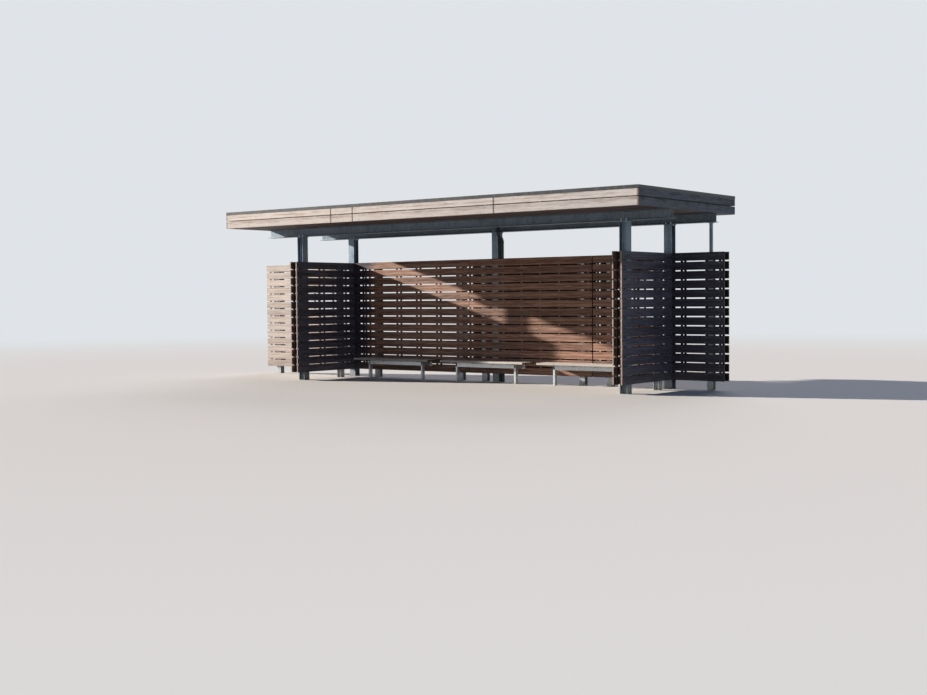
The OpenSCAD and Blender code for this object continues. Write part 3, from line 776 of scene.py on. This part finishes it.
def screwWalls(s, head):
    low, face = wallTimber["start"], plan["wallFace"]
    rows = int(round((plan["wallTop"] - low) / s["pair"]))
    skins = [("BackWallFront", toFront, [(gridX + x, gridY - face, 0) for x in wallBattens]),
             ("BackWallRear", toBack, [(gridX + x, gridY + face, 0) for x in wallBattens])]
    for side, x in zip(("Left", "Right"), plan["wings"]):
        for skin, turn, out in (("LeftSkin", toLeft, -face), ("RightSkin", toRight, face)):
            skins.append((f"{side}Wing{skin}", turn,
                          [(gridX + x + out, gridY + y, 0) for y in wingBattens]))
    for name, turn, places in skins:
        column = copyTo(head, [(0, 0, low + s["inset"])], turn)
        modify(column, "ARRAY", count=rows, use_relative_offset=False, use_constant_offset=True,
               constant_offset_displace=(0, 0, s["pair"]))
        setScrews(name, column, places)


def screwFascia(s, head):
    long = [(i / s["bays"] - 0.5) * s["length"] for i in range(s["bays"] + 1)]
    short = [(i / s["endBays"] - 0.5) * s["depth"] + s["middle"] for i in range(s["endBays"] + 1)]
    sides = []
    for name, turn, face, joints in (("Front", toFront, "fasciaFront", "frontJoints"),
                                     ("Back", toBack, "fasciaBack", "backJoints")):
        run = long + [x + d for x in plan[joints] for d in (-s["beside"], s["beside"])]
        sides.append((name, turn, [(gridX + x, gridY + plan[face], 0) for x in run]))
    ends = (("Left", toLeft, -plan["roofEnd"]), ("Right", toRight, plan["roofEnd"]))
    for name, turn, end in ends:
        sides.append((name, turn, [(gridX + end, gridY + y, 0) for y in short]))
    for name, turn, places in sides:
        column = copyTo(head, [(0, 0, z) for z in s["heights"]], turn)
        setScrews("Fascia" + name, column, places)


def screwSoffit(s, head):
    boards = [s["firstBoard"] + s["pitch"] * i for i in range(s["boards"])]
    clear = [y for y in boards
             if abs(y - plan["frontPosts"]) > s["beamClear"] and abs(y) > s["beamClear"]]
    line = copyTo(head, [(0, y, 0) for y in clear], toGround)
    joists = [s["joistPitch"] * i for i in range(-s["joists"], s["joists"] + 1)]
    setScrews("Soffit", line, [(gridX + x, gridY, plan["soffitUnder"])
                               for x in joists + [-s["endJoist"], s["endJoist"]]])


head = panHead(screw)
screwWalls(screw, head)
screwFascia(fasciaScrews, head)
screwSoffit(soffitScrews, head)
discard(head)
print("screws ready")


# ---- backing: film-faced plywood behind the rear boards, a near-black sheet of painted shade where the gaps show black

backing = dict(runs=[(-0.656, 2.348), (2.4855, 2.7565)], endGap=0.004, play=0.002, arris=0.0008,
               batten=0.0225, post=0.080, face=0.0705, back=0.0758, low=0.172, high=2.523)
filmFinish = dict(film="#17110f", worn="#5a5049", roughness=0.62, mesh=125.0, share=0.35,
                  scuffs={"Scale": 6.0, "Detail": 6.0, "Roughness": 0.7}, scuffed=(0.52, 0.80),
                  relief={"Strength": 0.2, "Distance": 0.0004})


def filmPlywood(name, look):
    # dark brown phenolic film: satin, with fine wire-mesh print drawn at 8 mm and scuffed pale
    material, tree, shader, place = newMaterial(name)
    mesh = addNode(tree, "TexVoronoi", {"Vector": place, "Scale": look["mesh"]},
                   feature="DISTANCE_TO_EDGE")
    scuff = addNode(tree, "TexNoise", {"Vector": place, **look["scuffs"]})
    scuff = addNode(tree, "MapRange", (scuff, *look["scuffed"], 0.0, look["share"]))
    colour = addNode(tree, "Mix", {0: scuff, 6: look["film"], 7: look["worn"]}, 2,
                     data_type="RGBA")
    bump = addNode(tree, "Bump", {"Height": mesh, **look["relief"]})
    feed(tree, shader, {"Base Color": colour, "Roughness": look["roughness"], "Normal": bump})
    return material


def backPanels(b):
    # one strip for each bay between battens, and stopped short of the roof post
    strips = []
    for start, end in b["runs"]:
        edges = [start + b["endGap"]]
        for x, half in sorted([(x, b["batten"]) for x in wallBattens] + [(0.0, b["post"])]):
            if start < x < end:
                edges += [x - half, x + half]
        edges.append(end - b["endGap"])
        for x0, x1 in zip(edges[::2], edges[1::2]):
            strip = block((gridX + x0 + b["play"] / 2, gridY + b["face"], b["low"]),
                          (gridX + x1 - b["play"] / 2, gridY + b["back"], b["high"]))
            bpy.ops.object.mode_set(mode="EDIT")
            bpy.ops.mesh.select_all(action="SELECT")
            bpy.ops.mesh.bevel(offset=b["arris"], segments=1, affect="EDGES")
            bpy.ops.object.mode_set(mode="OBJECT")
            strips.append(strip)
    finishPiece(settle(*strips), "backingPanels", filmPlywood("matShadeSheetFilmPlywood", filmFinish))


backPanels(backing)
print("backing ready")


# ---- bolts: M16 sets through beam flange and cap plate, small hexagon heads elsewhere

bolt = dict(flats=0.024, head=0.010, nut=0.013, washer=0.015, washerHeight=0.003,
            washerSides=20, washerRim=0.0006, shank=0.008, shankSides=12, shankRim=0.0015,
            tail=0.014, gauge=0.050, plateUnder=3.052, flangeTop=3.0735, smooth=35)
smallBolt = dict(flats=0.013, low=0.0015, top=0.007, washerHeight=0.0018, washerSides=16,
                 washerRim=0.0004, smooth=35)
tubeBolts = dict(x=4.855, gauge=0.037, under=3.056, washer=0.010)
# corners: width across flats to corner radius; drop and inset: shares of the width
hexForm = dict(sides=6, corners=1.732, drop=0.05, inset=0.10)


def hexagon(flats, low, high):
    # hexagon with both ends chamfered
    bpy.ops.mesh.primitive_cylinder_add(
        vertices=hexForm["sides"], radius=flats / hexForm["corners"], depth=high - low,
        location=(0, 0, (low + high) / 2))
    body = bpy.context.object
    bpy.ops.object.mode_set(mode="EDIT")
    drop = flats * hexForm["drop"]
    for way in (-1, 1):
        pick(body, lambda middle, normal: normal.z * way > faceOn)
        bpy.ops.transform.translate(value=(0, 0, -way * drop))
        bpy.ops.mesh.inset(thickness=flats * hexForm["inset"], depth=drop)
    bpy.ops.object.mode_set(mode="OBJECT")
    return body


def disc(radius, low, high, sides, chamfer):
    # washer or shank: a round that has its rims eased
    bpy.ops.mesh.primitive_cylinder_add(vertices=sides, radius=radius, depth=high - low,
                                        location=(0, 0, (low + high) / 2))
    body = bpy.context.object
    bpy.ops.object.mode_set(mode="EDIT")
    pick(body, lambda middle, normal: abs(normal.z) > faceOn)
    bpy.ops.mesh.region_to_loop()
    bpy.ops.mesh.bevel(offset=chamfer, segments=1, affect="EDGES")
    bpy.ops.object.mode_set(mode="OBJECT")
    return body


def boltPosts(b):
    washerTop = b["flangeTop"] + b["washerHeight"]
    washerLow = b["plateUnder"] - b["washerHeight"]
    one = settle(
        hexagon(b["flats"], washerTop, washerTop + b["nut"]),
        disc(b["washer"], b["flangeTop"], washerTop, b["washerSides"], b["washerRim"]),
        disc(b["washer"], washerLow, b["plateUnder"], b["washerSides"], b["washerRim"]),
        hexagon(b["flats"], washerLow - b["head"], washerLow),
        disc(b["shank"], washerLow, washerTop + b["nut"] + b["tail"], b["shankSides"],
             b["shankRim"]),
    )
    left, right = plan["wings"]
    front = plan["frontPosts"]
    posts = [(left, 0.0), (0.0, 0.0), (right, 0.0), (left, front), (right, front)]
    places = [(gridX + x + sx * b["gauge"], gridY + y + sy * b["gauge"], 0)
              for x, y in posts for sx in (-1, 1) for sy in (-1, 1)]
    finishPiece(copyTo(one, places), "boltsRoofPosts", boltSteel, b["smooth"])
    discard(one)


def setSmallBolts(name, washer, places, turn):
    b = smallBolt
    one = settle(hexagon(b["flats"], b["low"], b["top"]),
                 disc(washer, 0, b["washerHeight"], b["washerSides"], b["washerRim"]))
    finishPiece(copyTo(one, places, turn), name, brightSteel, b["smooth"])
    discard(one)


def boltSideTube(b):
    places = [(gridX + b["x"] + sx * b["gauge"], gridY + sy * b["gauge"], b["under"])
              for sx in (-1, 1) for sy in (-1, 1)]
    setSmallBolts("boltsSideTube", b["washer"], places, toGround)


boltPosts(bolt)
boltSideTube(tubeBolts)
print("bolts ready")


# ---- benches: coach bolts in the slats over each cleat, hexagon bolts in the wall plates

bench = dict(middles=(-2.4546, -0.028, 2.3986), legs=0.742,
             slatRows=(-0.538, -0.456, -0.374, -0.292, -0.210), seatTop=0.440,
             plateFace=-0.108, plateX=0.030, plateZ=(0.301, 0.391), washer=0.0070,
             headSides=12, headRadius=0.009, smooth=50,
             dome=((0.0006, 1.0), (0.0011, 0.84), (0.0007, 0.62)))   # rise, and width left


def coachHead(b):
    # low mushroom head
    bpy.ops.mesh.primitive_circle_add(vertices=b["headSides"], radius=b["headRadius"],
                                      fill_type="NGON", location=(0, 0, 0))
    dome = bpy.context.object
    bpy.ops.object.mode_set(mode="EDIT")
    bpy.ops.mesh.select_all(action="SELECT")
    for rise, shrink in b["dome"]:
        extrude(0, 0, rise)
        bpy.ops.transform.resize(value=(shrink, shrink, 1))
    closeShape()
    return dome


def boltBenches(b):
    dome = coachHead(b)
    cleats = [m + c * b["legs"] / 3 for m in b["middles"] for c in (-3, -1, 1, 3)]
    places = [(gridX + x, gridY + y, b["seatTop"]) for x in cleats for y in b["slatRows"]]
    finishPiece(copyTo(dome, places), "coachBoltsBenches", screwSteel,
                b["smooth"])
    discard(dome)
    places = [(gridX + m + s * b["legs"] + d * b["plateX"], gridY + b["plateFace"], z)
              for m in b["middles"] for s in (-1, 1) for d in (-1, 1) for z in b["plateZ"]]
    setSmallBolts("boltsBenchPlates", b["washer"], places, toFront)


boltBenches(bench)
print("bench fixings ready")


# ---- roof: lapped mineral felt on plywood, turned up at the rim, leaf guard on the outlet

roof = dict(x=4.867, y0=-2.717, y1=0.532, z=3.527, felt=0.003, sheet=0.92, lap=0.08,
            lapRise=0.008, lapLift=0.0003, upstand=0.038, upstandPlay=0.0002,
            outletX=0.124, outletY=-0.134, flange=0.068, holePlay=0.001, holeSides=48,
            holeLow=0.01, holeHigh=0.02, holeRim=0.001)
guardForm = dict(radius=0.050, columns=14, rings=8, base=0.004, flatten=0.62, wire=0.0030,
                 smooth=40)
feltFinish = dict(felt="#454a4e", slate="#70757a", moss="#5b6040", lap="#33373a", roughness=0.88,
                  grit=260.0, clouds={"Scale": 1.1, "Detail": 7.0, "Roughness": 0.6},
                  gritShare=0.35, tones=(0.42, 0.86), raised=(0.0028, 0.0062), raisedShare=0.45,
                  mossy=(0.56, 0.70), mossShare=0.65,
                  relief={"Strength": 0.5, "Distance": 0.0015})
sawnFinish = dict(wood="#b79a72", woodDark="#8d7350", roughness=0.8, stretch=(30, 3, 60),
                  lines={"Scale": 1.0, "Detail": 4.0}, tones=(0.3, 0.7),
                  relief={"Strength": 0.4, "Distance": 0.001})


def mineralFelt(name, look):
    # bitumen felt with slate grit: grit drawn at 4 mm so that it shows, moss where water stands
    material, tree, shader, place = newMaterial(name)
    grit = addNode(tree, "TexVoronoi", {"Vector": place, "Scale": look["grit"]}, "Color")
    grit = addNode(tree, "SeparateColor", (grit,))
    cloud = addNode(tree, "TexNoise", {"Vector": place, **look["clouds"]})
    mixed = addNode(tree, "Math", (grit, look["gritShare"], cloud), operation="MULTIPLY_ADD")
    colour = addNode(tree, "ValToRGB", (mixed,), stops=list(zip(
        look["tones"], (look["felt"], look["slate"]))))
    height = addNode(tree, "SeparateXYZ", (place,), 2)
    raised = addNode(tree, "MapRange", (height, *[roof["z"] + h for h in look["raised"]], 0.0,
                                        look["raisedShare"]))
    colour = addNode(tree, "Mix", {0: raised, 6: colour, 7: look["lap"]}, 2, data_type="RGBA")
    green = addNode(tree, "MapRange", (cloud, *look["mossy"], 0.0, look["mossShare"]))
    colour = addNode(tree, "Mix", {0: green, 6: colour, 7: look["moss"]}, 2, data_type="RGBA")
    bump = addNode(tree, "Bump", {"Height": grit, **look["relief"]})
    feed(tree, shader, {"Base Color": colour, "Roughness": look["roughness"], "Normal": bump})
    return material


def sawnTimber(name, look):
    # sawn softwood and plywood: coarse yellow-brown fibre
    material, tree, shader, place = newMaterial(name)
    line = addNode(tree, "VectorMath", (place, look["stretch"]), operation="MULTIPLY")
    line = addNode(tree, "TexNoise", {"Vector": line, **look["lines"]})
    colour = addNode(tree, "ValToRGB", (line,), stops=list(zip(
        look["tones"], (look["woodDark"], look["wood"]))))
    bump = addNode(tree, "Bump", {"Height": line, **look["relief"]})
    feed(tree, shader, {"Base Color": colour, "Roughness": look["roughness"], "Normal": bump})
    return material


def feltSheets(r):
    # one sheet across the roof, its right edge lifted over the next, then a row of them
    start = -r["x"] + r["felt"]
    sheet = block((start, r["y0"] + r["felt"], r["z"]),
                  (start + r["sheet"], r["y1"] - r["felt"], r["z"] + r["felt"]))
    bpy.ops.object.mode_set(mode="EDIT")
    pick(sheet, lambda middle, normal: normal.x > faceOn)
    extrude(r["lapRise"], 0, r["felt"] + r["lapLift"])
    extrude(r["lap"] - r["lapRise"], 0, 0)
    closeShape()
    holed = int((r["outletX"] + r["x"] - r["felt"]) / r["sheet"])
    count = math.ceil(2 * r["x"] / r["sheet"])
    others = copyTo(sheet, [(i * r["sheet"], 0, 0) for i in range(count) if i != holed])
    bpy.ops.object.mode_set(mode="EDIT")
    bpy.ops.mesh.select_all(action="SELECT")
    bpy.ops.mesh.bisect(plane_co=(r["x"] - r["felt"], 0, 0), plane_no=(1, 0, 0),
                        use_fill=True, clear_outer=True)
    bpy.ops.object.mode_set(mode="OBJECT")
    sheet.location.x = holed * r["sheet"]
    cutter = disc(r["flange"] + r["holePlay"], r["z"] - r["holeLow"], r["z"] + r["holeHigh"],
                  r["holeSides"], r["holeRim"])
    cutter.location.x = r["outletX"]
    cutter.location.y = r["outletY"]
    modify(sheet, "BOOLEAN", object=cutter, operation="DIFFERENCE")
    discard(cutter)
    return settle(others, sheet)


def feltUpstand(r):
    # four walls of felt against the rim, under the lip of the trim
    ring = block((-r["x"], r["y0"], r["z"]), (r["x"], r["y1"], r["z"] + r["upstand"]))
    bpy.ops.object.mode_set(mode="EDIT")
    pick(ring, lambda middle, normal: abs(normal.z) > faceOn)
    bpy.ops.mesh.delete(type="ONLY_FACE")
    bpy.ops.object.mode_set(mode="OBJECT")
    modify(ring, "SOLIDIFY", thickness=r["felt"] - r["upstandPlay"], offset=-1,
           use_even_offset=True)
    return ring


def leafGuard(r, g):
    # wire dome over the outlet
    base = (r["outletX"], r["outletY"], r["z"] + g["base"])
    bpy.ops.mesh.primitive_uv_sphere_add(segments=g["columns"], ring_count=g["rings"],
                                         radius=g["radius"], location=base)
    dome = settle(bpy.context.object)
    bpy.ops.object.mode_set(mode="EDIT")
    bpy.ops.mesh.select_all(action="SELECT")
    bpy.ops.mesh.bisect(plane_co=(0, 0, base[2]), plane_no=(0, 0, 1), clear_inner=True)
    bpy.ops.mesh.select_all(action="SELECT")
    bpy.ops.transform.resize(value=(1, 1, g["flatten"]), center_override=base)
    bpy.ops.object.mode_set(mode="OBJECT")
    modify(dome, "WIREFRAME", thickness=g["wire"], use_boundary=True)
    dome.location.z += g["wire"] / 2
    return dome


felt = settle(feltSheets(roof), feltUpstand(roof))
guard = leafGuard(roof, guardForm)
for piece in (felt, guard):
    piece.location.x += gridX
    piece.location.y += gridY
finishPiece(felt, "roofFelt", mineralFelt("matMineralFelt", feltFinish))
finishPiece(guard, "leafGuard", brightSteel, guardForm["smooth"])
dress(["roof_deck", "roof_frame"], sawnTimber("matSawnSoftwood", sawnFinish))
print("roof ready")
